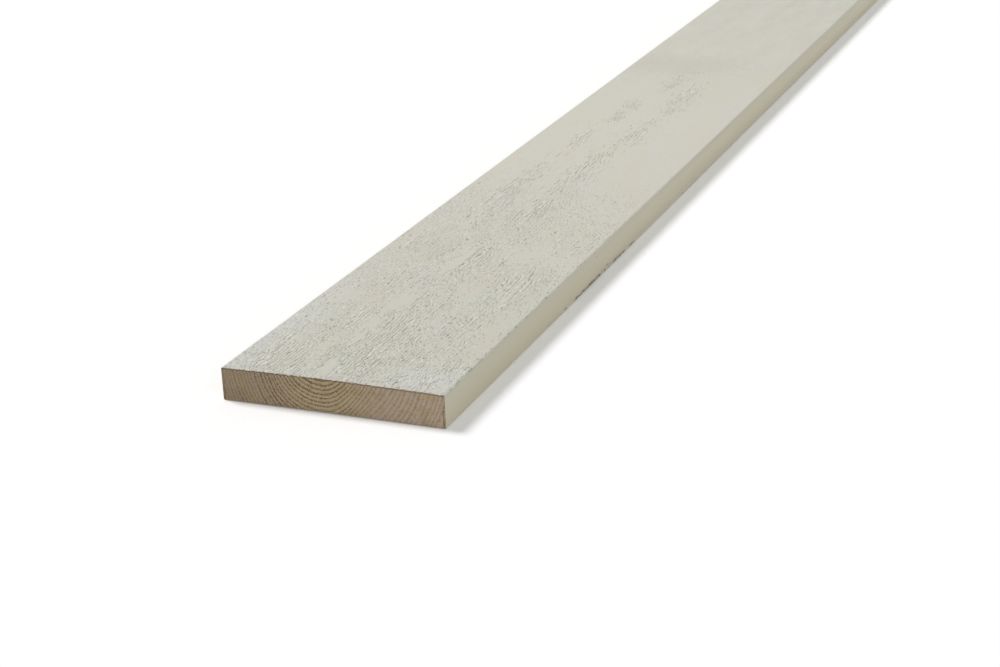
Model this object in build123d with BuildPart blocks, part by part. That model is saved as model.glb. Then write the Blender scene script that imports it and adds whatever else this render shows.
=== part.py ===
"""Rectangular cladding board: one length of softwood, planed on its back and edges, fine-sawn on its face.

Frame: X across the width, Y along the length, Z up through the thickness.
The board lies on its back, and the origin is the centre of the back.
"""

from build123d import *

import os

# Driving dimensions in millimetres
THICKNESS = 22.0
WIDTH = 145.0
LENGTH = 3000.0
FACE_ARRIS_RADIUS = 1.2  # the two long corners beside the weather face
BACK_ARRIS_RADIUS = 0.8  # the two long corners beside the back

with BuildPart() as board:
    # The section across the grain: a rectangle with its four long corners eased
    with BuildSketch(Plane.XZ) as section:
        Rectangle(WIDTH, THICKNESS, align=(Align.CENTER, Align.MIN))
        fillet(section.vertices().group_by(Axis.Y)[-1], radius=FACE_ARRIS_RADIUS)
        fillet(section.vertices().group_by(Axis.Y)[0], radius=BACK_ARRIS_RADIUS)
    # The length, half of it each way from the origin, with both ends cut square
    extrude(amount=LENGTH / 2, both=True)

board.part.label = "board"

os.makedirs("parts", exist_ok=True)
export_step(board.part, "parts/board.step")
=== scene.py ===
"""Looks of a rectangular cladding board: painted, fine-sawn spruce with bare sawn ends and a planed back.

The board lies on its back on a pale floor. X runs across it, Y along it and Z up out of its weather face.
Sizes are in metres, most of them written as millimetres times MM, and colours are sRGB hex values.
"""

import math

import bmesh
import bpy
from mathutils import Matrix, Vector


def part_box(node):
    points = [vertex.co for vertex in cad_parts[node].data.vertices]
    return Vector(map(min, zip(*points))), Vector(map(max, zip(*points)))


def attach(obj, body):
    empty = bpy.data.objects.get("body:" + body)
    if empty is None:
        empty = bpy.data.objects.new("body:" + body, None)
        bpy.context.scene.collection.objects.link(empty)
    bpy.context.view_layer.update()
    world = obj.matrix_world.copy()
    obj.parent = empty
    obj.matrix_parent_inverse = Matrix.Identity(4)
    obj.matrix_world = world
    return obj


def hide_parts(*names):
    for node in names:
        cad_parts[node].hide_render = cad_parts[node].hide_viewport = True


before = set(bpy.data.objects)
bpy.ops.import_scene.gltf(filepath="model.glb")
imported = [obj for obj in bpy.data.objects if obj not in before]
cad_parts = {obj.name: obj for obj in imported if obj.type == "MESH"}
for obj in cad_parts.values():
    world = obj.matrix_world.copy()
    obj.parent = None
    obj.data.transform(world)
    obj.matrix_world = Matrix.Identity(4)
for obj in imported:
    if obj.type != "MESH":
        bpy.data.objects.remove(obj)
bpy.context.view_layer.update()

MM = 0.001
LOW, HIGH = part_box("board")
WIDTH, LENGTH, THICKNESS = HIGH - LOW
NEAR_END = LOW.y
FAR_END = HIGH.y
HALF_WIDTH = WIDTH / 2

# Form of the board
FACE_ARRIS = 1.2 * MM
BACK_ARRIS = 0.8 * MM
CUP = 0.8 * MM  # how much higher the middle of the board has risen than its long edges
RIB_DEPTH = 0.10 * MM  # of the rows on the face, where they are whole
DENT_DEPTH = 0.12 * MM  # of the deepest wide hollow on the face
FACE_SKIN = 0.1 * MM  # depth to which a point near the top lies on the face and not on its eased corner
END_BORDER = 1.3 * MM  # strip round each end, whose outer edge the saw has frayed
FRAYED_LENGTH = 1.2 * MM  # of the face beside each end
CHIP_DEPTH = 1.1 * MM  # of the deepest chip there
SHARP_ANGLE = 50  # degrees between two faces, from which their edge looks sharp

# Net of the mesh
FACE_COLUMNS = 92  # on each half of the face
BACK_COLUMNS = 6  # on each half of the back
STRETCHES = (  # along the board, each as (distance of its end from the near end, cuts across it)
    (FRAYED_LENGTH, 0),
    (160 * MM, 99),
    (380 * MM, 87),
    (740 * MM, 72),
    (1400 * MM, 59),
    (LENGTH - FRAYED_LENGTH, 90),
    (LENGTH, 0),
)

# Limits for picking edges and faces
SAME_HEIGHT = 0.01 * MM  # two heights that differ by less than this are the same
STRAIGHT = 0.999  # share of an edge's length that lies along an axis if the edge runs along it
FACING = 0.5  # length of a face's unit normal along an axis, past which the face looks that way

# Growth rings: the pith runs a little above the weather face and wanders along the board
PITH_X = -5.4 * MM
PITH_Z = 31.4 * MM  # at both ends
PITH_RISE = 14.0 * MM  # from its lowest to its highest
PITH_WANDER = LENGTH / 16  # length of one bend, so that the bends begin and stop at the ends
FLAT_SIDE = 35.7 * MM  # to the right of the pith the rings flatten over this width,
FLAT_SIDE_RISE = 10.4 * MM  # as if the pith lay higher by this
ROUND_RADIUS = 36.0 * MM  # from this far off the pith the rings are round,
INNER_FLATNESS = 0.55  # and at the pith they are this high for their width
RING_WIDTH = 2.76 * MM
CLOSE_SIDE = 30.0 * MM  # from this far to the left of the pith the rings are closer,
CLOSE_RING_WIDTH = 2.3 * MM
FIRST_RING = 0.55  # share of a ring that is gone at the pith
GOOD_YEARS = 6.0 * MM  # thickness of a spell of wider or narrower rings,
GOOD_YEARS_SHIFT = 0.7  # which moves them by up to this share of a ring
RING_WOBBLE = 0.5  # share of a ring by which its line wobbles

# Rows and marks that the saw has left on the weather face
ROW_PITCH = 2.5 * MM  # from one row of torn fibres to the next, about a ring's width
ROW_WAVES = 4.0  # rows by which a row wanders over a long stretch,
ROW_BENDS = 1.1  # over a few millimetres,
ROW_JITTER = 2.2  # and over less than that where the grain is unsteady,
STEADY_ROW_JITTER = 0.5  # or where it is steady
HOLLOW_IN_ROW = (0.68, 0.80, 0.92, 1.0)  # shares of a row where its hollow starts, is full, wanes and ends
CREST_IN_ROW = (0.0, 0.08, 0.16, 0.30)  # the same for the crest beside it
MARK_EDGE = 0.10  # softness of a mark's border
BREAKS_BY_FLECKS = 0.30  # how much more of the rows shows where flecks are torn,
BREAKS_BY_ROWS = 0.08  # where rows are whole,
BREAKS_BY_DASHES = 0.36  # and where dashes are torn
FLECKS_BY_TEARING = 0.26  # how many more flecks and dashes show where they are torn
FLECKS_IN_DASHES = 0.3  # share of the flecks' tearing that makes dashes too
LIFT_ASIDE = 0.8  # of a mark's width to where its fibres are lifted,
LIFT_ALONG = 0.2  # and of its length

# Tearing of the weather face, which is worst near the near end
TORN_LENGTH = 390 * MM  # from the near end the whole width is torn for about this length,
TORN_RAGS = 240 * MM  # which varies by up to this from place to place,
TORN_FADE = 220 * MM  # and there the tearing fades over this
TORN_MIDDLE = 6 * MM  # place across the board where it is torn most
TORN_ASIDE = (14 * MM, 36 * MM, 0.86)  # distances off that over which the tearing falls, and its share there
TORN_ALONG = (40 * MM, 100 * MM, 0.84)  # the same for distances from the near end
TORN_AGAIN = (1150 * MM, 1450 * MM)  # distances from the near end over which torn stretches come in again
LENS_SMOOTHNESS = 0.6  # share of the tearing that a smooth lens lacks
SPOT_RAGS = 2.8  # how far a spot's border varies, in half widths
FAR_OFF = 10.0  # a distance outside every spot, in half widths

# Places on the weather face, each as (x, distance from the near end, width, length) in millimetres
COARSE_GROUPS = (  # where the face is torn in coarse dashes
    (6, 336, 24, 56),
    (-34, 380, 22, 170),
    (2, 436, 26, 170),
    (-32, 520, 16, 100),
    (8, 552, 24, 110),
    (-26, 622, 18, 100),
    (13, 662, 26, 130),
    (-10, 725, 22, 80),
)
RIBBED_BANDS = (  # where the rows are whole and deep
    (2, 30, 18, 54),
    (-40, 28, 36, 46),
    (1, 80, 18, 64),
    (-27, 98, 13, 32),
    (43, 120, 9, 56),
    (-32, 164, 17, 42),
    (49, 176, 28, 60),
    (2, 222, 14, 56),
    (-38, 236, 30, 36),
    (2, 440, 16, 120),
)
CREASED_LENSES = (  # where the saw ran level with a growth ring and tore only along the lens's right border,
    (-10, 18, 9, 26),
    (-14, 68, 8, 24),
    (-14, 133, 15, 46),
    (-10, 216, 9, 50),
)
SMOOTH_LENSES = (  # and where it tore less, and left no such border
    (-26, 44, 8, 30),
    (63, 76, 13, 42),
    (-16, 94, 9, 22),
    (62, 108, 9, 36),
    (-53, 131, 12, 18),
    (22, 158, 16, 34),
    (64, 233, 9, 26),
    (32, 240, 34, 34),
)
SHINY_PATCHES = (  # where the paint is glossier, with a painted bluish sheen
    (60, 12, 54, 46),
    (-70, 62, 34, 150),
)
SHADOW_BANDS = ((-30, 790, 120, 70),)  # where a painted shadow falls across the face
CHIPPED_STRETCHES = ((72, 268, 40, 120),)  # where it has chipped off the corner beside the back

# Paint on the weather face
FACE_NEAR_PAINT = "C6C4B6"  # at the near end,
FACE_PAINT = "CBC8BA"  # further on,
FACE_FAR_PAINT = "C0BDB0"  # and far off
FACE_PAINT_FROM = 300 * MM  # distance from the near end at which the second is full,
FACE_FAR_PAINT_OVER = (600 * MM, 1100 * MM)  # and distances over which the third comes in
FACE_TINTS = (  # warm, greenish and cool patches, each as (width, length, colour), in millimetres
    (15, 45, "CCC5B5"),
    (19, 60, "C6C9B9"),
    (24, 80, "CCCAC2"),
)
FACE_TINT_SHARE = 0.6
# Painted shadow in the band across the face
BAND_SHADOW_PAINT = "B9B6A8"
BAND_SHADOW_PAINT_SHARE = 0.42
# Painted bluish sheen on the shiny patches
PAINTED_SHEEN_TINT = "CDCECF"
PAINTED_SHEEN_TINT_SHARE = 0.3
# Painted shade in the hollows and the pits, and painted highlight on the crests
HOLLOW_SHADE_PAINT = "9B988C"
CREST_HIGHLIGHT_PAINT = "EAE8DD"
CREST_HIGHLIGHT_SHARES = (0.75, 1.0)  # share of the painted highlight on the crests, on plain and on shiny paint
PIT_SHADE_PAINT = "8E8B80"
STRANDS_SHOWN = 0.09  # how far the fibres show through the paint
HOLLOW_DEPTH = 0.22 * MM
CREST_HEIGHT = 0.12 * MM
CREASE_WIDTH = 1.1 * MM
PIT_WIDTH = 1.0 * MM
PIT_LENGTH = 3.0 * MM
PIT_DEPTH = 0.4 * MM
PIT_SPACING = 28.0  # sizes of a pit from one pit to the next
PIT_FLOOR = 0.3  # sizes of a pit from its middle to where its wall starts,
PIT_BORDER = 0.8  # and to where it ends
FIBRE_HEIGHT = 0.05 * MM
FACE_ROUGHNESS = (0.52, 0.38)  # of plain and of shiny paint
PAINT_IOR = 1.48

# Paint on the long edges
EDGE_BOUNCE_LIT_PAINT = "DAD1B5"  # beside the back, lighter and warmer: painted warm bounce light that makes up for the floor's shade
EDGE_HIGH_PAINT = "C2C0A9"  # beside the face
EDGE_STREAK_PAINT = "D0CBB7"
EDGE_STREAK_SHARE = 0.4
EDGE_STREAK_HEIGHT = 0.05 * MM
NICK_WOOD = "7D6F58"
NICK_DEPTH = 0.3 * MM
NICK_SPREAD = (-0.16, 0.11)  # added to the nicks' pattern outside and inside the chipped stretches
NICK_HEIGHTS = (0.8 * MM, 4.4 * MM)  # over these heights the nicks get fewer,
NICK_FALL = -0.3  # by this, added to their pattern
EDGE_ROUGHNESS = 0.5

# Bare end grain
END_LEFT_WOOD = "A59279"
END_RIGHT_WOOD = "C2AE96"
END_MIDDLE_WOOD = "BCA886"  # below the pith
END_MIDDLE = (8 * MM, 38 * MM)  # distances off the pith from where that is full to where it ends
OLIVE_WOOD = "A9966B"
OLIVE_SHARE = 0.5
END_MARKS = (  # each as (x, z, width, height, colour), with its place and size in millimetres
    (63, 18.2, 11, 5, "BCA67E"),  # resin
    (-30, 3.7, 1.8, 1.4, "B0703A"),  # a speck of bark
    (-64, 5, 22, 9, "9C8A72"),  # painted shade in the lower left corner
)
END_MARK_SHARE = 0.7
END_MARK_BORDER = (0.4, 1.3)  # half widths from a mark's middle, from where it is full to where it ends
LATE_WOOD = "452F15"
LATE_IN_RING = (0.40, 0.64, 0.84, 1.0)  # shares of a ring where late wood starts, is full, wanes and ends
RING_JAGS = 1.1  # share of a ring by which its line is jagged
FAINT_YEAR = 0.65  # boldness of the faintest ring
FAINT_SIDES = (  # where the rings are fainter, each as (x where that starts, x where it is full, power)
    (-40 * MM, -66 * MM, 1.7),
    (4 * MM, 24 * MM, 1.4),
)
FAINT_SHARE = 0.6  # boldness of the rings there
PORES = "66563F"
PORES_FEWER_TO = -20 * MM  # from the left edge to here the pores get fainter,
PORE_SHARES = (0.95, 0.3)  # from the first share to the second
FUZZ_SHOWN = 0.5
FUZZ_HEIGHT = 0.15 * MM
RIM_PAINT = "CFC3B5"
# Painted shade in the pits below the frayed rim
RIM_PIT_SHADE = "5E4E3C"
RIM_PIT_SHADE_SHARE = 0.75
RIM_RAGS = 3.0 * MM  # how far the frays that hang from the face vary in length
RIM_PAINT_EDGE = (-1.05 * MM, -0.85 * MM)  # depths below the face, less the frays, where the paint ends
RIM_PIT_SHADE_EDGE = (-0.5 * MM, 0.0)  # and where the painted shade of the pits ends
EDGE_LINE = "6B5A44"
EDGE_LINE_SHARE = 0.4
EDGE_LINE_ENDS = (0.3 * MM, 0.8 * MM)  # distances from the long edge over which that line fades
END_ROUGHNESS = 0.85
WOOD_IOR = 1.45

# Bare planed back
BACK_PALE_WOOD = "D8C19A"
BACK_DEEP_WOOD = "C9AF86"
BACK_LATE_WOOD = "AD8C5C"
BACK_LATE_SHARE = 0.75
BACK_LATE_IN_RING = (0.45, 0.90, 0.92, 1.0)  # shares of a ring, as for the end grain
BACK_FIBRES_SHOWN = 0.25
BACK_PAINT = "CFCAB6"
BACK_PAINT_RAGS = 9 * MM  # how far the paint's border varies,
BACK_PAINT_EDGE = (-2.4 * MM, -1.6 * MM)  # and where it ends: distances from the long edge, less that
PLANER_PITCH = 6.0 * MM  # from one ripple that the planer left to the next
RIPPLE_HEIGHT = 0.02 * MM
FIBRES_TO_RIPPLES = 5.0  # height of the fibres, in ripples
BACK_ROUGHNESS = 0.6

# Floor, sky and camera
WHITE = "FFFFFF"
FLOOR_COLOUR = "E7E7E7"
FLOOR_SIZE = 60.0
FLOOR_GAP = 0.2 * MM  # between the floor and the board's back
FLOOR_LIFT = 0.07  # what the lit floor lacks of white
SKY_STRENGTH = 0.32  # of the sky's light on the board
CAMERA_PLACE = (0.49305, -2.42746, 0.45395)
CAMERA_HEADING = 22.54  # degrees to the left of the board's length
CAMERA_TILT = 68.72  # degrees up from straight down
CAMERA_ROLL = -2.135  # degrees
SENSOR_WIDTH = 36.0  # of the camera, in millimetres
FOCAL_LENGTH = 69.96  # in millimetres
NEAREST_SEEN = 10 * MM

# Sockets of the Mix node for colours, by number because their names repeat
SHARE = 0
UNDER = 6
OVER = 7
MIXED = 2

# Size of a pattern's patches in a direction in which it stays the same
EVEN = 1000.0


def linear(colour):
    """A colour written as sRGB hex, such as "C8C6BA", as linear red, green, blue and alpha."""
    channels = [int(colour[i:i + 2], 16) / 255 for i in (0, 2, 4)]
    return [c / 12.92 if c <= 0.04045 else ((c + 0.055) / 1.055) ** 2.4 for c in channels] + [1.0]


def add(tree, kind, links=None, output=0, **settings):
    """Adds a node with its settings, sets or links its inputs, and gives back one of its outputs."""
    made = tree.nodes.new(kind)
    for name, value in settings.items():
        setattr(made, name, value)
    for name, value in (links or {}).items():
        if isinstance(value, bpy.types.NodeSocket):
            tree.links.new(value, made.inputs[name])
        else:
            made.inputs[name].default_value = value
    return made.outputs[output] if made.outputs else made


# Patterns of the wood, which the mesh and the finishes share

def mottle(tree, place, across, along, up=EVEN, detail=2.0, roughness=0.5):
    """Random values round 0.5 in patches of about the given size."""
    scale = (1 / across, 1 / along, 1 / up)
    patch = add(tree, "ShaderNodeVectorMath", {0: place, 1: scale}, operation="MULTIPLY")
    return add(tree, "ShaderNodeTexNoise",
               {"Vector": patch, "Scale": 1.0, "Detail": detail, "Roughness": roughness})


def patches(tree, place, start, full, low=0.0, high=1.0, border="LINEAR", **pattern):
    """Values that go from low to high where a mottle of the given pattern goes from start to full."""
    levels = {"From Min": start, "From Max": full, "To Min": low, "To Max": high}
    values = mottle(tree, place, **pattern)
    return add(tree, "ShaderNodeMapRange", {"Value": values, **levels}, interpolation_type=border)


def swell(tree, value, stops, rise="SMOOTHSTEP", fall="SMOOTHSTEP"):
    """Rises from 0 to 1 between the first two stops of a value, and falls to 0 between the last two."""
    start, full, wane, end = stops
    up = add(tree, "ShaderNodeMapRange", {"Value": value, "From Min": start, "From Max": full},
             interpolation_type=rise)
    down = add(tree, "ShaderNodeMapRange",
               {"Value": value, "From Min": wane, "From Max": end, "To Min": 1.0, "To Max": 0.0},
               interpolation_type=fall)
    return add(tree, "ShaderNodeMath", {0: up, 1: down}, operation="MULTIPLY")


def fall_to_edges(tree, x):
    """How far the cup has lowered the face: 0 in the middle of the board and 1 at its long edges."""
    off_middle = add(tree, "ShaderNodeMath", {0: x, 1: HALF_WIDTH}, operation="DIVIDE")
    return add(tree, "ShaderNodeMath", {0: off_middle, 1: 2.0}, operation="POWER")


def off_long_edge(tree, x):
    """The distance from the nearer long edge."""
    off_middle = add(tree, "ShaderNodeMath", {0: x}, operation="ABSOLUTE")
    return add(tree, "ShaderNodeMath", {0: HALF_WIDTH, 1: off_middle}, operation="SUBTRACT")


def off_oval(tree, place, centre, scale):
    """How far a place lies from the centre of an oval, where 1 is on its border."""
    off = add(tree, "ShaderNodeVectorMath", {0: place, 1: scale, 2: -centre * scale},
              operation="MULTIPLY_ADD")
    return add(tree, "ShaderNodeVectorMath", {0: off}, output="Value", operation="LENGTH")


def off_pith(tree, place):
    """How far a place lies to the right of the pith, and how far below it."""
    x, y, z = add(tree, "ShaderNodeSeparateXYZ", {0: place}).node.outputs
    bend = add(tree, "ShaderNodeTexNoise", {"W": y, "Scale": 1 / PITH_WANDER, "Detail": 1.0},
               noise_dimensions="1D")
    pith_z = add(tree, "ShaderNodeMath", {0: bend, 1: PITH_RISE, 2: PITH_Z - PITH_RISE / 2},
                 operation="MULTIPLY_ADD")
    across = add(tree, "ShaderNodeMath", {0: x, 1: PITH_X}, operation="SUBTRACT")
    rise = add(tree, "ShaderNodeMapRange",
               {"Value": across, "From Max": FLAT_SIDE, "To Max": FLAT_SIDE_RISE},
               interpolation_type="SMOOTHSTEP")
    pith_z = add(tree, "ShaderNodeMath", {0: pith_z, 1: rise}, operation="ADD")
    down = add(tree, "ShaderNodeMath", {0: pith_z, 1: z}, operation="SUBTRACT")
    return across, down


def growth_rings(tree, place):
    """The number of the growth ring at a place in the board, counted out from the pith."""
    across, down = off_pith(tree, place)
    spoke = add(tree, "ShaderNodeCombineXYZ", {0: across, 2: down})
    radius = add(tree, "ShaderNodeVectorMath", {0: spoke}, output="Value", operation="LENGTH")
    flatness = add(tree, "ShaderNodeMapRange",
                   {"Value": radius, "From Max": ROUND_RADIUS, "To Min": INNER_FLATNESS, "To Max": 1.0})
    leftward = add(tree, "ShaderNodeMath", {0: across, 1: -1.0}, operation="MULTIPLY")
    across = add(tree, "ShaderNodeMath", {0: across, 1: flatness}, operation="MULTIPLY")
    spoke = add(tree, "ShaderNodeCombineXYZ", {0: across, 2: down})
    radius = add(tree, "ShaderNodeVectorMath", {0: spoke}, output="Value", operation="LENGTH")
    years = add(tree, "ShaderNodeTexNoise", {"W": radius, "Scale": 1 / GOOD_YEARS, "Detail": 1.0},
                noise_dimensions="1D")
    rings = add(tree, "ShaderNodeMath", {0: radius, 1: 1 / RING_WIDTH, 2: FIRST_RING},
                operation="MULTIPLY_ADD")
    close = add(tree, "ShaderNodeMath", {0: leftward, 1: CLOSE_SIDE}, operation="SUBTRACT", use_clamp=True)
    wobble = mottle(tree, place, across=17 * MM, along=125 * MM, up=17 * MM)
    more_rings = 1 / CLOSE_RING_WIDTH - 1 / RING_WIDTH
    for value, shift in ((close, more_rings), (years, GOOD_YEARS_SHIFT), (wobble, RING_WOBBLE)):
        rings = add(tree, "ShaderNodeMath", {0: value, 1: shift, 2: rings}, operation="MULTIPLY_ADD")
    return rings


def sawn_rows(tree, place):
    """The number of the row that the saw has left on the face, counted to the right of the pith."""
    x = add(tree, "ShaderNodeSeparateXYZ", {0: place}, output="X")
    across = add(tree, "ShaderNodeMath", {0: x, 1: PITH_X}, operation="SUBTRACT")
    rows = add(tree, "ShaderNodeMath", {0: across, 1: ROW_PITCH}, operation="DIVIDE")
    waves = mottle(tree, place, across=22 * MM, along=150 * MM)
    return add(tree, "ShaderNodeMath", {0: waves, 1: ROW_WAVES, 2: rows}, operation="MULTIPLY_ADD")


def spots(tree, place, ovals, softness):
    """1 inside some ovals on the face and 0 outside them, with ragged borders of the given softness."""
    reach = FAR_OFF
    for x, away, width, length in ovals:
        centre = Vector((x * MM, NEAR_END + away * MM, 0))
        scale = Vector((2 / (width * MM), 2 / (length * MM), 0))
        off = off_oval(tree, place, centre, scale)
        reach = add(tree, "ShaderNodeMath", {0: off, 1: reach}, operation="MINIMUM")
    ragged = mottle(tree, place, across=4.5 * MM, along=12 * MM, detail=3.0, roughness=0.6)
    reach = add(tree, "ShaderNodeMath", {0: ragged, 1: SPOT_RAGS, 2: reach}, operation="MULTIPLY_ADD")
    border = 1 + SPOT_RAGS / 2
    return add(tree, "ShaderNodeMapRange",
               {"Value": reach, "From Min": border - softness / 2, "From Max": border + softness / 2,
                "To Min": 1.0, "To Max": 0.0},
               interpolation_type="SMOOTHSTEP")


def torn_grain(tree, place):
    """How far the saw has torn the face, each from 0 to 1: in flecks, in whole rows and in dashes."""
    x, y = add(tree, "ShaderNodeSeparateXYZ", {0: place}).node.outputs[:2]
    creased = spots(tree, place, CREASED_LENSES, softness=0.9)
    rough = add(tree, "ShaderNodeMath", {0: 1.0, 1: creased}, operation="SUBTRACT")
    smooth = spots(tree, place, SMOOTH_LENSES, softness=2.0)
    rough = add(tree, "ShaderNodeMath", {0: smooth, 1: -LENS_SMOOTHNESS, 2: rough},
                operation="MULTIPLY_ADD", use_clamp=True)
    patchy = patches(tree, place, start=0.36, full=0.60, low=0.62, across=10 * MM, along=30 * MM)
    patchy = add(tree, "ShaderNodeMath", {0: patchy, 1: rough}, operation="MULTIPLY")

    # From the near end on the whole width is torn, most in the middle and close to the end
    ragged = mottle(tree, place, across=40 * MM, along=110 * MM)
    along = add(tree, "ShaderNodeMath", {0: ragged, 1: -TORN_RAGS, 2: y}, operation="MULTIPLY_ADD")
    stop = NEAR_END + TORN_LENGTH - TORN_RAGS / 2
    near = add(tree, "ShaderNodeMapRange",
               {"Value": along, "From Min": stop - TORN_FADE / 2, "From Max": stop + TORN_FADE / 2,
                "To Min": 1.0, "To Max": 0.0},
               interpolation_type="SMOOTHSTEP")
    aside = add(tree, "ShaderNodeMath", {0: x, 1: TORN_MIDDLE}, operation="SUBTRACT")
    aside = add(tree, "ShaderNodeMath", {0: aside}, operation="ABSOLUTE")
    away = add(tree, "ShaderNodeMath", {0: y, 1: NEAR_END}, operation="SUBTRACT")
    for distance, (start, end, least) in ((aside, TORN_ASIDE), (away, TORN_ALONG)):
        fade = add(tree, "ShaderNodeMapRange",
                   {"Value": distance, "From Min": start, "From Max": end, "To Min": 1.0, "To Max": least})
        near = add(tree, "ShaderNodeMath", {0: near, 1: fade}, operation="MULTIPLY")

    # Further on there are torn stretches again
    again = patches(tree, place, start=0.50, full=0.62, border="SMOOTHSTEP", across=90 * MM, along=340 * MM)
    start, end = TORN_AGAIN
    past = add(tree, "ShaderNodeMapRange", {"Value": away, "From Min": start, "From Max": end})
    again = add(tree, "ShaderNodeMath", {0: again, 1: past}, operation="MULTIPLY")

    flecks = add(tree, "ShaderNodeMath", {0: near, 1: again}, operation="MAXIMUM")
    flecks = add(tree, "ShaderNodeMath", {0: flecks, 1: patchy}, operation="MULTIPLY")
    rows = spots(tree, place, RIBBED_BANDS, softness=1.2)
    rows = add(tree, "ShaderNodeMath", {0: rows, 1: rough}, operation="MULTIPLY")
    dashes = spots(tree, place, COARSE_GROUPS, softness=1.6)
    dashes = add(tree, "ShaderNodeMath", {0: flecks, 1: FLECKS_IN_DASHES, 2: dashes},
                 operation="MULTIPLY_ADD")
    dashes = add(tree, "ShaderNodeMath", {0: dashes, 1: patchy}, operation="MULTIPLY")
    return flecks, rows, dashes


def marks(tree, place, more, start, across, along):
    """1 in marks of about the given size and 0 between them. Where more is higher there are more of them."""
    values = mottle(tree, place, across=across, along=along, detail=1.0)
    values = add(tree, "ShaderNodeMath", {0: values, 1: more}, operation="ADD")
    return add(tree, "ShaderNodeMapRange",
               {"Value": values, "From Min": start, "From Max": start + MARK_EDGE},
               interpolation_type="SMOOTHSTEP")


def sawn_grain(tree, place, torn_flecks, torn_rows, torn_dashes):
    """The hollows and the crests that the saw has left, each from 0 to 1: broken rows, flecks and dashes."""

    # Rows: a hollow along each and a crest beside it, steadiest in the ribbed bands and the coarse groups
    steady = add(tree, "ShaderNodeMath", {0: torn_rows, 1: torn_dashes}, operation="MAXIMUM")
    jitter = mottle(tree, place, across=1.7 * MM, along=3.8 * MM, detail=1.0)
    jitter_width = add(tree, "ShaderNodeMapRange",
                       {"Value": steady, "To Min": ROW_JITTER, "To Max": STEADY_ROW_JITTER})
    bends = mottle(tree, place, across=3.4 * MM, along=7.0 * MM, detail=1.0)
    rows = sawn_rows(tree, place)
    for value, width in ((jitter, jitter_width), (bends, ROW_BENDS)):
        rows = add(tree, "ShaderNodeMath", {0: value, 1: width, 2: rows}, operation="MULTIPLY_ADD")
    row = add(tree, "ShaderNodeMath", {0: rows}, operation="FRACT")
    hollow = swell(tree, row, HOLLOW_IN_ROW, fall="LINEAR")
    crest = swell(tree, row, CREST_IN_ROW, rise="LINEAR")

    # The rows are broken, into short marks near the near end and into long ones in the coarse groups
    more = add(tree, "ShaderNodeMath", {0: torn_flecks, 1: BREAKS_BY_FLECKS}, operation="MULTIPLY")
    more = add(tree, "ShaderNodeMath", {0: torn_rows, 1: BREAKS_BY_ROWS, 2: more}, operation="MULTIPLY_ADD")
    short = marks(tree, place, more, start=0.67, across=1.2 * MM, along=3.0 * MM)
    more = add(tree, "ShaderNodeMath", {0: torn_dashes, 1: BREAKS_BY_DASHES}, operation="MULTIPLY")
    long = marks(tree, place, more, start=0.73, across=1.8 * MM, along=13 * MM)
    shown = add(tree, "ShaderNodeMath", {0: short, 1: long}, operation="MAXIMUM")
    hollow = add(tree, "ShaderNodeMath", {0: hollow, 1: shown}, operation="MULTIPLY")
    crest = add(tree, "ShaderNodeMath", {0: crest, 1: shown}, operation="MULTIPLY")

    # Flecks and dashes: short hollows anywhere, with the fibres lifted beside them
    kinds = (  # each as (how far it is torn, level at which its marks start, width, length)
        (torn_flecks, 0.88, 0.5 * MM, 1.5 * MM),
        (torn_dashes, 0.87, 0.8 * MM, 6.0 * MM),
    )
    for torn, start, across, along in kinds:
        more = add(tree, "ShaderNodeMath", {0: torn, 1: FLECKS_BY_TEARING}, operation="MULTIPLY")
        lift = (LIFT_ASIDE * across, LIFT_ALONG * along, 0)
        beside = add(tree, "ShaderNodeVectorMath", {0: place, 1: lift}, operation="ADD")
        gone = marks(tree, place, more, start, across, along)
        lifted = marks(tree, beside, more, start, across, along)
        hollow = add(tree, "ShaderNodeMath", {0: hollow, 1: gone}, operation="MAXIMUM")
        crest = add(tree, "ShaderNodeMath", {0: crest, 1: lifted}, operation="MAXIMUM")
    return hollow, crest


# The board

def select(mesh, mode, test):
    """Selects the edges or faces of the mesh in edit mode that pass a test, and nothing else."""
    bpy.ops.mesh.select_mode(type=mode)
    bpy.ops.mesh.select_all(action="DESELECT")
    net = bmesh.from_edit_mesh(mesh)
    for item in net.edges if mode == "EDGE" else net.faces:
        item.select_set(test(item))
    bmesh.update_edit_mesh(mesh)


def runs_along(edge, axis):
    """Whether an edge runs along an axis, 0 for X, 1 for Y or 2 for Z."""
    step = edge.verts[1].co - edge.verts[0].co
    return abs(step[axis]) > STRAIGHT * step.length


def middle(edge):
    """The middle of an edge."""
    return (edge.verts[0].co + edge.verts[1].co) / 2


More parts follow.
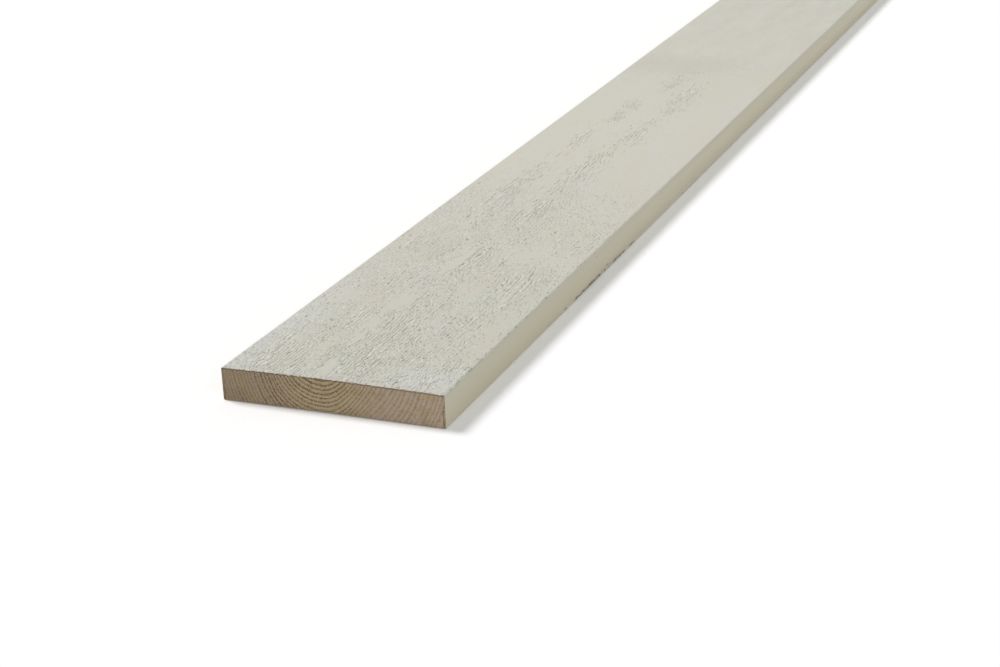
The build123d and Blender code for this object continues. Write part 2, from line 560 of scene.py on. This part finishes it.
def relief_nodes():
    """Node tree that cups the board, lowers its face where the saw has torn it and chips the face's ends."""
    tree = bpy.data.node_groups.new("fine_sawn_relief", "GeometryNodeTree")
    for direction in ("INPUT", "OUTPUT"):
        tree.interface.new_socket("Geometry", in_out=direction, socket_type="NodeSocketGeometry")
    shape = add(tree, "NodeGroupInput")
    place = add(tree, "GeometryNodeInputPosition")
    x, y, z = add(tree, "ShaderNodeSeparateXYZ", {0: place}).node.outputs

    # Cup: the face falls towards the long edges, and the back rises towards the middle
    share_down = add(tree, "ShaderNodeMapRange",
                     {"Value": z, "From Max": THICKNESS, "To Min": 1.0, "To Max": 0.0})
    cup = add(tree, "ShaderNodeMath", {0: fall_to_edges(tree, x), 1: share_down}, operation="SUBTRACT")
    cup = add(tree, "ShaderNodeMath", {0: cup, 1: CUP}, operation="MULTIPLY")

    # Fine-sawn face: ribs along its whole rows, and dents where it is torn
    torn_flecks, torn_rows = torn_grain(tree, place)[:2]
    turns = add(tree, "ShaderNodeMath", {0: sawn_rows(tree, place), 1: 2 * math.pi}, operation="MULTIPLY")
    ribs = add(tree, "ShaderNodeMath", {0: turns}, operation="COSINE")
    ribs = add(tree, "ShaderNodeMath", {0: ribs, 1: 0.5, 2: 0.5}, operation="MULTIPLY_ADD")
    ribs = add(tree, "ShaderNodeMath", {0: ribs, 1: torn_rows}, operation="MULTIPLY")
    dents = patches(tree, place, start=0.40, full=0.70, high=DENT_DEPTH, border="SMOOTHSTEP",
                    across=2.6 * MM, along=8 * MM)
    depth = add(tree, "ShaderNodeMath", {0: dents, 1: torn_flecks}, operation="MULTIPLY")
    depth = add(tree, "ShaderNodeMath", {0: ribs, 1: RIB_DEPTH, 2: depth}, operation="MULTIPLY_ADD")

    # Frayed ends: the last millimetre of the face is chipped
    off_centre = add(tree, "ShaderNodeMath", {0: y}, operation="ABSOLUTE")
    at_end = add(tree, "ShaderNodeMapRange",
                 {"Value": off_centre, "From Min": FAR_END - FRAYED_LENGTH, "From Max": FAR_END})
    chips = patches(tree, place, start=0.46, full=0.66, high=CHIP_DEPTH,
                    across=1.2 * MM, along=EVEN, roughness=0.7)
    chips = add(tree, "ShaderNodeMath", {0: chips, 1: at_end}, operation="MULTIPLY")
    depth = add(tree, "ShaderNodeMath", {0: depth, 1: chips}, operation="ADD")
    on_face = add(tree, "ShaderNodeMapRange",
                  {"Value": z, "From Min": HIGH.z - FACE_ARRIS, "From Max": HIGH.z - FACE_SKIN},
                  interpolation_type="SMOOTHSTEP")
    depth = add(tree, "ShaderNodeMath", {0: depth, 1: on_face}, operation="MULTIPLY")

    lower = add(tree, "ShaderNodeMath", {0: cup, 1: depth}, operation="ADD")
    lower = add(tree, "ShaderNodeMath", {0: lower, 1: -1.0}, operation="MULTIPLY")
    offset = add(tree, "ShaderNodeCombineXYZ", {2: lower})
    shape = add(tree, "GeometryNodeSetPosition", {"Geometry": shape, "Offset": offset})
    add(tree, "NodeGroupOutput", {0: shape})
    return tree


def make_board(finishes):
    """The board as one closed mesh, with a finish for its long edges, its face, its ends and its back."""
    bpy.ops.object.select_all(action="DESELECT")
    bpy.ops.mesh.primitive_cube_add(size=1.0, location=(LOW + HIGH) / 2)
    board = bpy.context.object
    board.name = "cladding_board"
    mesh = board.data
    mesh.name = "cladding_board"
    board.scale = (WIDTH, LENGTH, THICKNESS)
    bpy.ops.object.transform_apply(location=True, rotation=False, scale=True)
    bpy.ops.object.mode_set(mode="EDIT")

    # Eased long corners
    for corner_z, radius, segments in ((HIGH.z, FACE_ARRIS, 4), (LOW.z, BACK_ARRIS, 3)):
        select(mesh, "EDGE", lambda e: runs_along(e, 1) and abs(middle(e).z - corner_z) < SAME_HEIGHT)
        bpy.ops.mesh.bevel(offset=radius, segments=segments, affect="EDGES")

    # Columns across the face and the back
    bpy.ops.mesh.select_all(action="SELECT")
    bpy.ops.mesh.bisect(plane_co=(0, 0, 0), plane_no=(1, 0, 0))
    for side_z, columns in ((HIGH.z, FACE_COLUMNS), (LOW.z, BACK_COLUMNS)):
        select(mesh, "EDGE", lambda e: runs_along(e, 0) and abs(middle(e).z - side_z) < SAME_HEIGHT)
        bpy.ops.mesh.subdivide(number_cuts=columns - 1)

    # Rows along the board, closer together towards the near end
    for end, _ in STRETCHES[:-1]:
        bpy.ops.mesh.select_all(action="SELECT")
        bpy.ops.mesh.bisect(plane_co=(0, NEAR_END + end, 0), plane_no=(0, 1, 0))
    start = 0
    for end, cuts in STRETCHES:
        if cuts:
            select(mesh, "EDGE", lambda e: runs_along(e, 1) and start < middle(e).y - NEAR_END < end)
            bpy.ops.mesh.subdivide(number_cuts=cuts)
        start = end

    # A border round each end
    select(mesh, "FACE", lambda f: abs(f.normal.y) > FACING)
    bpy.ops.mesh.inset(thickness=END_BORDER)

    # Finishes
    zones = (
        lambda f: abs(f.normal.x) > FACING,
        lambda f: f.normal.z > FACING,
        lambda f: abs(f.normal.y) > FACING,
        lambda f: f.normal.z < -FACING,
    )
    for number, (finish, zone) in enumerate(zip(finishes, zones)):
        mesh.materials.append(finish)
        select(mesh, "FACE", zone)
        board.active_material_index = number
        bpy.ops.object.material_slot_assign()
    bpy.ops.object.mode_set(mode="OBJECT")

    # Cup and relief
    relief = board.modifiers.new("fine_sawn_relief", "NODES")
    relief.node_group = relief_nodes()
    bpy.ops.object.modifier_apply(modifier=relief.name)
    bpy.ops.object.shade_smooth_by_angle(angle=math.radians(SHARP_ANGLE))
    return board


# Finishes

def new_finish(name):
    """An empty material and its node tree."""
    finish = bpy.data.materials.new(name)
    finish.use_nodes = True
    finish.node_tree.nodes.clear()
    return finish, finish.node_tree


def coats(tree, colour, tints):
    """A colour with tints laid over it one after another, each as (share, colour)."""
    for share, tint in tints:
        colour = add(tree, "ShaderNodeMix", {SHARE: share, UNDER: colour, OVER: linear(tint)},
                     output=MIXED, data_type="RGBA")
    return colour


def close_finish(tree, colour, roughness, ior, height, height_unit=1.0):
    """Gives a finish its surface, with its fine relief."""
    normal = add(tree, "ShaderNodeBump", {"Strength": 1.0, "Distance": height_unit, "Height": height})
    surface = add(tree, "ShaderNodeBsdfPrincipled",
                  {"Base Color": colour, "Roughness": roughness, "IOR": ior, "Normal": normal})
    add(tree, "ShaderNodeOutputMaterial", {"Surface": surface})


def torn_out_pits(tree, place, torn):
    """1 in a pit here and there, where a bundle of fibres has come out, and 0 between the pits."""
    scale = (1 / PIT_WIDTH, 1 / PIT_LENGTH, 0)
    patch = add(tree, "ShaderNodeVectorMath", {0: place, 1: scale}, operation="MULTIPLY")
    pits = add(tree, "ShaderNodeTexVoronoi", {"Vector": patch, "Scale": 1 / PIT_SPACING},
               voronoi_dimensions="2D")
    pits = add(tree, "ShaderNodeMapRange",
               {"Value": pits, "From Min": PIT_FLOOR / PIT_SPACING, "From Max": PIT_BORDER / PIT_SPACING,
                "To Min": 1.0, "To Max": 0.0})
    ripped = add(tree, "ShaderNodeMapRange", {"Value": torn, "From Min": 0.2, "From Max": 0.5})
    return add(tree, "ShaderNodeMath", {0: pits, 1: ripped}, operation="MULTIPLY")


def lens_creases(tree, place):
    """1 along the right border of each creased lens, in broken stretches, and 0 elsewhere."""
    lenses = spots(tree, place, CREASED_LENSES, softness=0.6)
    beside = add(tree, "ShaderNodeVectorMath", {0: place, 1: (-CREASE_WIDTH, 0, 0)}, operation="ADD")
    creases = spots(tree, beside, CREASED_LENSES, softness=0.6)
    creases = add(tree, "ShaderNodeMath", {0: creases, 1: lenses}, operation="SUBTRACT", use_clamp=True)
    broken = patches(tree, place, start=0.42, full=0.56, across=2.0 * MM, along=7 * MM)
    return add(tree, "ShaderNodeMath", {0: creases, 1: broken}, operation="MULTIPLY")


def painted_fine_sawn_spruce():
    """Opaque acrylic paint on a fine-sawn face: satin, with flecks where fibres are torn, in painted shade
    and painted highlight.
    """
    finish, tree = new_finish("painted_fine_sawn_spruce")
    place = add(tree, "ShaderNodeTexCoord", output="Object")
    y = add(tree, "ShaderNodeSeparateXYZ", {0: place}, output="Y")

    # Relief that is finer than the mesh, with the fibres drawn coarser than they are so that they show
    torn_flecks, torn_rows, torn_dashes = torn_grain(tree, place)
    hollows, crests = sawn_grain(tree, place, torn_flecks, torn_rows, torn_dashes)
    creases = lens_creases(tree, place)
    hollows = add(tree, "ShaderNodeMath", {0: hollows, 1: creases}, operation="MAXIMUM")
    pits = torn_out_pits(tree, place, torn_flecks)
    fibres = mottle(tree, place, across=0.6 * MM, along=6 * MM)
    height = 0.0
    reliefs = (
        (hollows, -HOLLOW_DEPTH),
        (crests, CREST_HEIGHT),
        (pits, -PIT_DEPTH),
        (fibres, FIBRE_HEIGHT),
    )
    for share, rise in reliefs:
        height = add(tree, "ShaderNodeMath", {0: share, 1: rise, 2: height}, operation="MULTIPLY_ADD")

    # Tone: greyer towards the near end and again far off, with faint warm and cool patches
    distance = add(tree, "ShaderNodeMath", {0: y, 1: NEAR_END}, operation="SUBTRACT")
    away = add(tree, "ShaderNodeMapRange", {"Value": distance, "From Max": FACE_PAINT_FROM})
    start, end = FACE_FAR_PAINT_OVER
    farther = add(tree, "ShaderNodeMapRange", {"Value": distance, "From Min": start, "From Max": end})
    tints = [(away, FACE_PAINT), (farther, FACE_FAR_PAINT)]
    for across, along, tint in FACE_TINTS:
        share = patches(tree, place, start=0.45, full=0.75, high=FACE_TINT_SHARE,
                        across=across * MM, along=along * MM)
        tints.append((share, tint))
    # A painted shadow in a band across the face
    band_shadow = spots(tree, place, SHADOW_BANDS, softness=1.2)
    band_shadow = add(tree, "ShaderNodeMath", {0: band_shadow, 1: BAND_SHADOW_PAINT_SHARE}, operation="MULTIPLY")
    # A painted bluish sheen on the shiny patches, which are also glossier
    shiny = spots(tree, place, SHINY_PATCHES, softness=1.6)
    painted_sheen = add(tree, "ShaderNodeMath", {0: shiny, 1: PAINTED_SHEEN_TINT_SHARE}, operation="MULTIPLY")
    tints += [(band_shadow, BAND_SHADOW_PAINT), (painted_sheen, PAINTED_SHEEN_TINT)]
    colour = coats(tree, linear(FACE_NEAR_PAINT), tints)

    # The fibres show faintly through the paint all over
    strands = mottle(tree, place, across=1.4 * MM, along=14 * MM, detail=3.0, roughness=0.65)
    colour = add(tree, "ShaderNodeMix", {SHARE: STRANDS_SHOWN, UNDER: colour, OVER: strands},
                 output=MIXED, data_type="RGBA", blend_type="OVERLAY")

    # Painted shade in the hollows and the pits, and painted highlight on the crests, more of it on the shiny
    # patches
    plain, full = CREST_HIGHLIGHT_SHARES
    light = add(tree, "ShaderNodeMapRange", {"Value": shiny, "To Min": plain, "To Max": full})
    light = add(tree, "ShaderNodeMath", {0: light, 1: crests}, operation="MULTIPLY")
    colour = coats(tree, colour, ((hollows, HOLLOW_SHADE_PAINT), (light, CREST_HIGHLIGHT_PAINT), (pits, PIT_SHADE_PAINT)))
    plain, full = FACE_ROUGHNESS
    roughness = add(tree, "ShaderNodeMapRange", {"Value": shiny, "To Min": plain, "To Max": full})
    close_finish(tree, colour, roughness, PAINT_IOR, height)
    return finish


def painted_planed_spruce():
    """The same paint on a planed edge: an even, fuller film, lighter and warmer towards the back as painted
    bounce light, with nicks there.
    """
    finish, tree = new_finish("painted_planed_spruce")
    place = add(tree, "ShaderNodeTexCoord", output="Object")
    z = add(tree, "ShaderNodeSeparateXYZ", {0: place}, output="Z")
    up = add(tree, "ShaderNodeMapRange", {"Value": z, "From Max": THICKNESS})
    streaks = mottle(tree, place, across=100 * MM, along=300 * MM, up=4.5 * MM, detail=3.0)
    streaked = add(tree, "ShaderNodeMapRange",
                   {"Value": streaks, "From Min": 0.4, "From Max": 0.7, "To Max": EDGE_STREAK_SHARE})

    # Nicks on the corner beside the back, most of them in one stretch, where the paint has chipped off
    nicks = mottle(tree, place, across=EVEN, along=3.6 * MM, up=2.6 * MM)
    chipped = spots(tree, place, CHIPPED_STRETCHES, softness=1.2)
    outside, inside = NICK_SPREAD
    more = add(tree, "ShaderNodeMapRange", {"Value": chipped, "To Min": outside, "To Max": inside})
    start, end = NICK_HEIGHTS
    fewer = add(tree, "ShaderNodeMapRange",
                {"Value": z, "From Min": start, "From Max": end, "To Min": 0.0, "To Max": NICK_FALL})
    for change in (more, fewer):
        nicks = add(tree, "ShaderNodeMath", {0: nicks, 1: change}, operation="ADD")
    nicks = add(tree, "ShaderNodeMapRange", {"Value": nicks, "From Min": 0.51, "From Max": 0.56})

    # Painted warm bounce light makes the edge lighter and warmer towards the back
    tints = ((up, EDGE_HIGH_PAINT), (streaked, EDGE_STREAK_PAINT), (nicks, NICK_WOOD))
    colour = coats(tree, linear(EDGE_BOUNCE_LIT_PAINT), tints)
    height = add(tree, "ShaderNodeMath", {0: streaks, 1: EDGE_STREAK_HEIGHT}, operation="MULTIPLY")
    height = add(tree, "ShaderNodeMath", {0: nicks, 1: -NICK_DEPTH, 2: height}, operation="MULTIPLY_ADD")
    close_finish(tree, colour, EDGE_ROUGHNESS, PAINT_IOR, height)
    return finish


def late_wood(tree, place):
    """How much late wood there is on an end, from 0 to 1.

    It darkens towards the outside of each ring and stops there, jagged and in beads, boldest below the pith.
    """
    x = add(tree, "ShaderNodeSeparateXYZ", {0: place}, output="X")
    jags = mottle(tree, place, across=0.9 * MM, along=EVEN, up=0.9 * MM, detail=1.0)
    rings = add(tree, "ShaderNodeMath", {0: jags, 1: RING_JAGS, 2: growth_rings(tree, place)},
                operation="MULTIPLY_ADD")
    ring = add(tree, "ShaderNodeMath", {0: rings}, operation="FRACT")
    late = swell(tree, ring, LATE_IN_RING)
    beads = patches(tree, place, start=0.36, full=0.58, low=0.3,
                    across=0.75 * MM, along=EVEN, up=0.75 * MM, detail=1.0)
    year = add(tree, "ShaderNodeMath", {0: rings}, operation="FLOOR")
    year = add(tree, "ShaderNodeTexWhiteNoise", {"W": year}, noise_dimensions="1D")
    year = add(tree, "ShaderNodeMapRange", {"Value": year, "To Min": FAINT_YEAR, "To Max": 1.0})
    for share in (beads, year):
        late = add(tree, "ShaderNodeMath", {0: late, 1: share}, operation="MULTIPLY")
    for start, end, most in FAINT_SIDES:
        faint = add(tree, "ShaderNodeMapRange", {"Value": x, "From Min": start, "From Max": end})
        power = add(tree, "ShaderNodeMapRange", {"Value": faint, "To Min": 1.0, "To Max": most})
        late = add(tree, "ShaderNodeMath", {0: late, 1: power}, operation="POWER")
        bold = add(tree, "ShaderNodeMapRange", {"Value": faint, "To Min": 1.0, "To Max": FAINT_SHARE})
        late = add(tree, "ShaderNodeMath", {0: late, 1: bold}, operation="MULTIPLY")
    return late


def end_borders(tree, place):
    """Tints along an end's borders, each as (share, colour)."""
    outputs = add(tree, "ShaderNodeSeparateXYZ", {0: place}).node.outputs
    x, z = outputs["X"], outputs["Z"]

    # Beside the face: a frayed rim of paint, with painted shade of pits below it
    top = add(tree, "ShaderNodeMath", {0: fall_to_edges(tree, x), 1: -CUP, 2: HIGH.z},
              operation="MULTIPLY_ADD")
    depth = add(tree, "ShaderNodeMath", {0: top, 1: z}, operation="SUBTRACT")
    frays = mottle(tree, place, across=1.6 * MM, along=EVEN, detail=3.0)
    depth = add(tree, "ShaderNodeMath", {0: frays, 1: -RIM_RAGS, 2: depth}, operation="MULTIPLY_ADD")

    # Beside the long edges: a dark line under the film of paint
    off_edge = off_long_edge(tree, x)

    tints = []
    borders = (
        (depth, RIM_PIT_SHADE_EDGE, RIM_PIT_SHADE_SHARE, RIM_PIT_SHADE),
        (depth, RIM_PAINT_EDGE, 1.0, RIM_PAINT),
        (off_edge, EDGE_LINE_ENDS, EDGE_LINE_SHARE, EDGE_LINE),
    )
    for distance, (start, end), most, tint in borders:
        share = add(tree, "ShaderNodeMapRange",
                    {"Value": distance, "From Min": start, "From Max": end, "To Min": most, "To Max": 0.0})
        tints.append((share, tint))
    return tints


def sawn_end_grain_spruce():
    """Bare spruce cut across the grain: dull grey brown, with a dark beaded line on each growth ring."""
    finish, tree = new_finish("sawn_end_grain_spruce")
    place = add(tree, "ShaderNodeTexCoord", output="Object")
    x = add(tree, "ShaderNodeSeparateXYZ", {0: place}, output="X")

    # Early wood: darker on the left, yellower below the pith, pinkish on the right, and olive in places
    side = add(tree, "ShaderNodeMapRange", {"Value": x, "From Min": -HALF_WIDTH, "From Max": HALF_WIDTH})
    off_middle = add(tree, "ShaderNodeMath", {0: off_pith(tree, place)[0]}, operation="ABSOLUTE")
    start, end = END_MIDDLE
    below = add(tree, "ShaderNodeMapRange",
                {"Value": off_middle, "From Min": start, "From Max": end, "To Min": 1.0, "To Max": 0.0},
                interpolation_type="SMOOTHSTEP")
    olive = patches(tree, place, start=0.48, full=0.66, high=OLIVE_SHARE,
                    across=7 * MM, along=EVEN, up=6 * MM)
    tints = [(side, END_RIGHT_WOOD), (below, END_MIDDLE_WOOD), (olive, OLIVE_WOOD)]

    # Marks
    start, end = END_MARK_BORDER
    for mark_x, mark_z, width, height, tint in END_MARKS:
        centre = Vector((mark_x * MM, 0, mark_z * MM))
        scale = Vector((2 / (width * MM), 0, 2 / (height * MM)))
        off = off_oval(tree, place, centre, scale)
        mark = add(tree, "ShaderNodeMapRange",
                   {"Value": off, "From Min": start, "From Max": end,
                    "To Min": END_MARK_SHARE, "To Max": 0.0},
                   interpolation_type="SMOOTHSTEP")
        tints.append((mark, tint))

    # Late wood, and dark pores, most of them on the left, which are drawn coarse so that they show
    pores = patches(tree, place, start=0.57, full=0.68,
                    across=0.45 * MM, along=EVEN, up=0.6 * MM, detail=1.0)
    most, least = PORE_SHARES
    sparse = add(tree, "ShaderNodeMapRange",
                 {"Value": x, "From Min": -HALF_WIDTH, "From Max": PORES_FEWER_TO,
                  "To Min": most, "To Max": least})
    pores = add(tree, "ShaderNodeMath", {0: pores, 1: sparse}, operation="MULTIPLY")
    tints += [(late_wood(tree, place), LATE_WOOD), (pores, PORES)]
    colour = coats(tree, linear(END_LEFT_WOOD), tints)

    # Fuzz of cut fibres
    fuzz = mottle(tree, place, across=0.7 * MM, along=EVEN, up=0.7 * MM, detail=3.0)
    colour = add(tree, "ShaderNodeMix", {SHARE: FUZZ_SHOWN, UNDER: colour, OVER: fuzz},
                 output=MIXED, data_type="RGBA", blend_type="OVERLAY")

    colour = coats(tree, colour, end_borders(tree, place))
    close_finish(tree, colour, END_ROUGHNESS, WOOD_IOR, fuzz, FUZZ_HEIGHT)
    return finish


def planed_bare_spruce():
    """Bare planed spruce on the back: pale straw, with the rings as long darker lines and painted edges."""
    finish, tree = new_finish("planed_bare_spruce")
    place = add(tree, "ShaderNodeTexCoord", output="Object")
    x, y = add(tree, "ShaderNodeSeparateXYZ", {0: place}).node.outputs[:2]
    ring = add(tree, "ShaderNodeMath", {0: growth_rings(tree, place)}, operation="FRACT")
    late = swell(tree, ring, BACK_LATE_IN_RING, fall="LINEAR")
    late = add(tree, "ShaderNodeMath", {0: late, 1: BACK_LATE_SHARE}, operation="MULTIPLY")
    tone = mottle(tree, place, across=30 * MM, along=260 * MM, detail=3.0)
    colour = coats(tree, linear(BACK_PALE_WOOD), ((tone, BACK_DEEP_WOOD), (late, BACK_LATE_WOOD)))
    fibres = mottle(tree, place, across=0.7 * MM, along=30 * MM, detail=3.0)
    colour = add(tree, "ShaderNodeMix", {SHARE: BACK_FIBRES_SHOWN, UNDER: colour, OVER: fibres},
                 output=MIXED, data_type="RGBA", blend_type="OVERLAY")

    # Paint that ran round the long corners
    ragged = mottle(tree, place, across=4 * MM, along=14 * MM, detail=4.0, roughness=0.6)
    off_edge = add(tree, "ShaderNodeMath", {0: ragged, 1: -BACK_PAINT_RAGS, 2: off_long_edge(tree, x)},
                   operation="MULTIPLY_ADD")
    start, end = BACK_PAINT_EDGE
    paint = add(tree, "ShaderNodeMapRange",
                {"Value": off_edge, "From Min": start, "From Max": end, "To Min": 1.0, "To Max": 0.0})
    colour = coats(tree, colour, ((paint, BACK_PAINT),))

    # Faint ripples that the planer left across the board
    ripples = add(tree, "ShaderNodeMath", {0: y, 1: 2 * math.pi / PLANER_PITCH}, operation="MULTIPLY")
    ripples = add(tree, "ShaderNodeMath", {0: ripples}, operation="SINE")
    height = add(tree, "ShaderNodeMath", {0: fibres, 1: FIBRES_TO_RIPPLES, 2: ripples},
                 operation="MULTIPLY_ADD")
    close_finish(tree, colour, BACK_ROUGHNESS, WOOD_IOR, height, RIPPLE_HEIGHT)
    return finish


finishes = (
    painted_planed_spruce(),
    painted_fine_sawn_spruce(),
    sawn_end_grain_spruce(),
    planed_bare_spruce(),
)
board = make_board(finishes)
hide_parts("board")
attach(board, "root")


# Floor, light and camera

def seen_directly(tree):
    """1 for a ray from the camera, also by way of gloss or glass, and 0 for one that only lights things."""
    rays = add(tree, "ShaderNodeLightPath").node.outputs
    seen = rays["Is Camera Ray"]
    for kind in ("Is Glossy Ray", "Is Transmission Ray"):
        seen = add(tree, "ShaderNodeMath", {0: seen, 1: rays[kind]}, operation="MAXIMUM")
    return seen


def make_floor():
    """A plain pale floor, which looks white apart from the board's shadow."""
    bpy.ops.object.select_all(action="DESELECT")
    bpy.ops.mesh.primitive_plane_add(size=FLOOR_SIZE, location=(0, 0, LOW.z - FLOOR_GAP))
    floor = bpy.context.object
    floor.name = "floor"
    finish, tree = new_finish("pale_floor")
    pale = add(tree, "ShaderNodeBsdfDiffuse", {"Color": linear(FLOOR_COLOUR)})
    white = add(tree, "ShaderNodeBsdfDiffuse", {"Color": linear(WHITE)})
    lift = add(tree, "ShaderNodeEmission", {"Strength": FLOOR_LIFT})
    white = add(tree, "ShaderNodeAddShader", {0: white, 1: lift})
    surface = add(tree, "ShaderNodeMixShader", {0: seen_directly(tree), 1: pale, 2: white})
    add(tree, "ShaderNodeOutputMaterial", {"Surface": surface})
    floor.data.materials.append(finish)


def make_sky():
    """A sky that lights the board softly and looks white."""
    world = bpy.data.worlds.new("studio")
    world.use_nodes = True
    tree = world.node_tree
    tree.nodes.clear()
    soft = add(tree, "ShaderNodeBackground", {"Color": linear(WHITE), "Strength": SKY_STRENGTH})
    white = add(tree, "ShaderNodeBackground", {"Color": linear(WHITE), "Strength": 1.0})
    sky = add(tree, "ShaderNodeMixShader", {0: seen_directly(tree), 1: soft, 2: white})
    add(tree, "ShaderNodeOutputWorld", {"Surface": sky})
    bpy.context.scene.world = world


def make_lamp(name, energy, spread, source):
    """A soft sun lamp that shines from a direction, over a spread in degrees."""
    bpy.ops.object.light_add(type="SUN")
    lamp = bpy.context.object
    lamp.name = name
    lamp.data.energy = energy
    lamp.data.angle = math.radians(spread)
    lamp.rotation_euler = Vector(source).to_track_quat("Z", "Y").to_euler()


def make_camera():
    """A camera at the photograph's viewing angle."""
    bpy.ops.object.camera_add(location=CAMERA_PLACE)
    camera = bpy.context.object
    camera.name = "camera"
    heading = Matrix.Rotation(math.radians(CAMERA_HEADING), 4, "Z")
    tilt = Matrix.Rotation(math.radians(CAMERA_TILT), 4, "X")
    roll = Matrix.Rotation(math.radians(CAMERA_ROLL), 4, "Z")
    camera.rotation_euler = (heading @ tilt @ roll).to_euler()
    camera.data.sensor_width = SENSOR_WIDTH
    camera.data.lens = FOCAL_LENGTH
    camera.data.clip_start = NEAREST_SEEN
    bpy.context.scene.camera = camera


make_floor()
make_sky()
make_lamp("key_light", energy=1.87, spread=20, source=(-0.54, 0.12, 0.84))
make_lamp("fill_light", energy=0.75, spread=60, source=(0.62, -0.45, 0.45))
make_camera()
bpy.context.scene.view_settings.view_transform = "Standard"
